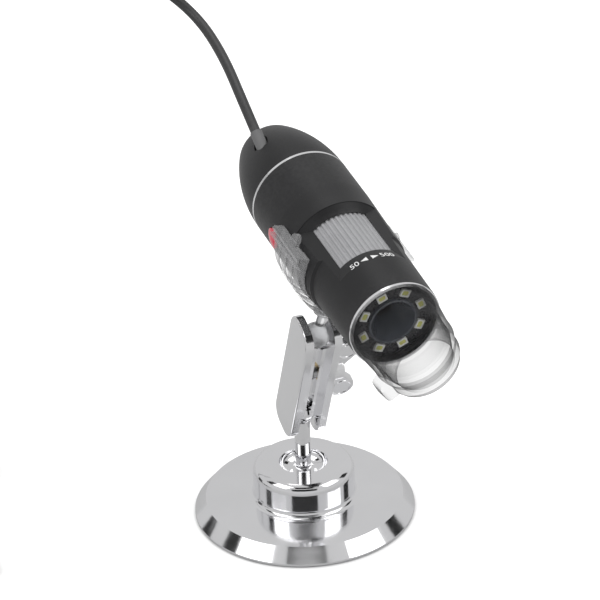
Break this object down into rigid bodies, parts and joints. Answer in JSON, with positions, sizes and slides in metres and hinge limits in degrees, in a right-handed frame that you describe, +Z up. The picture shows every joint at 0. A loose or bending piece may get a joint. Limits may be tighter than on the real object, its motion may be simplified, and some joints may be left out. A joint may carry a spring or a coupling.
{
  "type": "usb digital microscope",
  "caption": "Hand-held digital microscope with a clear hood, held by a clear clip on a ball-jointed clamp arm over a round weighted base, with its cable coiled.",
  "frame": {"origin": "centre of the base's underside, where the foam pad stands on the table", "axes": "+Z up, +X the way that the microscope looks, seen from above, +Y to the side that the wing knob is on"},
  "size_m": [0.1696, 0.1537, 0.1731],
  "materials": {
    "plated_base": "bright chrome plating",
    "weight_iron": "as cast",
    "foam_pad": "dark closed-cell foam",
    "plated_stem": "bright chrome plating",
    "steel_fixings": "zinc plated",
    "plated_arm": "bright chrome plating",
    "brass_bush": "turned",
    "plated_knob": "bright chrome plating",
    "clear_ball": "clear moulded plastic",
    "clear_clip": "clear moulded plastic",
    "dark_shell": "soft-touch dark coating",
    "dark_tail": "soft-touch dark coating",
    "grey_gland": "moulded, satin",
    "bright_trim": "bright plated ring",
    "inner_frame": "black, moulded",
    "grey_wheel": "satin grey, ribbed",
    "lens_tube": "black anodised",
    "lens_glass": "coated optical glass",
    "lamp_board": "black solder mask",
    "lamps": "white packages with yellow phosphor",
    "shield": "dark blue-grey",
    "clear_hood": "clear moulded plastic",
    "red_button": "glossy red",
    "green_board": "green solder mask",
    "switch_body": "black with a bright plunger",
    "sensor_body": "dark package under a glass lid",
    "cable_jacket": "satin dark jacket",
    "tie_band": "soft dark band",
    "plug_body": "satin dark moulding",
    "plug_metal": "nickel plated",
    "plug_block": "pale moulding"
  },
  "bodies": {
    "base": {"base_cover": "plated_base", "base_weight": "weight_iron", "base_pad": "foam_pad", "post": "plated_stem", "post_nut": "steel_fixings"},
    "lower_joint_ball": {"lower_ball": "plated_stem"},
    "arm": {"arm_plate_left": "plated_arm", "arm_insert": "brass_bush"},
    "clamp": {"arm_plate_right": "plated_arm", "arm_washer": "steel_fixings"},
    "knob": {"wing_knob": "plated_knob", "clamp_screw": "steel_fixings"},
    "upper_joint_ball": {"upper_ball": "clear_ball"},
    "holder": {"clip": "clear_clip"},
    "barrel": {"barrel_shell": "dark_shell", "tail_cap": "dark_tail", "cable_gland": "grey_gland", "rear_trim_ring": "bright_trim", "front_trim_ring": "bright_trim", "chassis": "inner_frame", "wheel_retainer": "inner_frame", "led_board": "lamp_board", "leds": "lamps", "lens_shroud": "shield", "main_board": "green_board", "tact_switch": "switch_body", "sensor_board": "green_board", "image_sensor": "sensor_body", "chassis_screws": "steel_fixings", "cord_lead": "cable_jacket", "cord_coil": "cable_jacket", "cord_tail": "cable_jacket", "cord_tie": "tie_band", "plug_grip": "plug_body", "plug_shell": "plug_metal", "plug_tongue": "plug_block"},
    "wheel": {"focus_wheel": "grey_wheel"},
    "lens": {"lens_carrier": "inner_frame", "lens_barrel": "lens_tube", "front_lens": "lens_glass", "rear_lens": "lens_glass", "lens_retainer": "lens_tube"},
    "button": {"snapshot_button": "red_button"},
    "front_hood": {"hood": "clear_hood"}
  },
  "joints": [
    {"name": "post_swivel", "type": "hinge", "parent": "base", "child": "lower_joint_ball", "pos_m": [0, 0, 0.0368], "axis": [0, 0, 1], "continuous": true},
    {"name": "arm_tilt", "type": "hinge", "parent": "lower_joint_ball", "child": "arm", "pos_m": [0, 0, 0.0368], "axis": [0.0332, 0.9995, 0], "range_deg": [-50, 30]},
    {"name": "clamp_slide", "type": "slide", "parent": "arm", "child": "clamp", "axis": [0.0332, 0.9995, 0], "range_m": [0, 0.001]},
    {"name": "wing_turn", "type": "hinge", "parent": "clamp", "child": "knob", "pos_m": [0.00793, -0.00026, 0.05488], "axis": [0.0332, 0.9995, 0], "range_deg": [0, 515]},
    {"name": "head_tilt", "type": "hinge", "parent": "arm", "child": "upper_joint_ball", "pos_m": [0.01587, -0.00053, 0.07297], "axis": [0.0332, 0.9995, 0], "range_deg": [-33, 25]},
    {"name": "clip_swivel", "type": "hinge", "parent": "upper_joint_ball", "child": "holder", "pos_m": [0.01587, -0.00053, 0.07297], "axis": [0.15, 0.2436, 0.9582], "continuous": true},
    {"name": "barrel_roll", "type": "hinge", "parent": "holder", "child": "barrel", "pos_m": [0.02058, 0.00712, 0.10306], "axis": [0.988, 0, -0.1547], "range_deg": [-30, 30]},
    {"name": "focus_turn", "type": "hinge", "parent": "barrel", "child": "wheel", "pos_m": [-0.0102, 0.00712, 0.10788], "axis": [0.988, 0, -0.1547], "range_deg": [-143, 143]},
    {"name": "lens_slide", "type": "slide", "parent": "barrel", "child": "lens", "axis": [0.988, 0, -0.1547], "range_m": [-0.00275, 0.00275]},
    {"name": "button_press", "type": "slide", "parent": "barrel", "child": "button", "axis": [0.0054, 0.9994, 0.0345], "range_m": [0, 0.0005], "stiffness_N_per_m": 600, "springref_m": -0.0005},
    {"name": "hood_pull", "type": "slide", "parent": "barrel", "child": "front_hood", "axis": [0.988, 0, -0.1547], "range_m": [0, 0.012]}
  ],
  "couplings": [
    {"joint": "wing_turn", "follows": "clamp_slide", "rad_per_m": 8976},
    {"joint": "focus_turn", "follows": "lens_slide", "rad_per_m": 909.09}
  ]
}
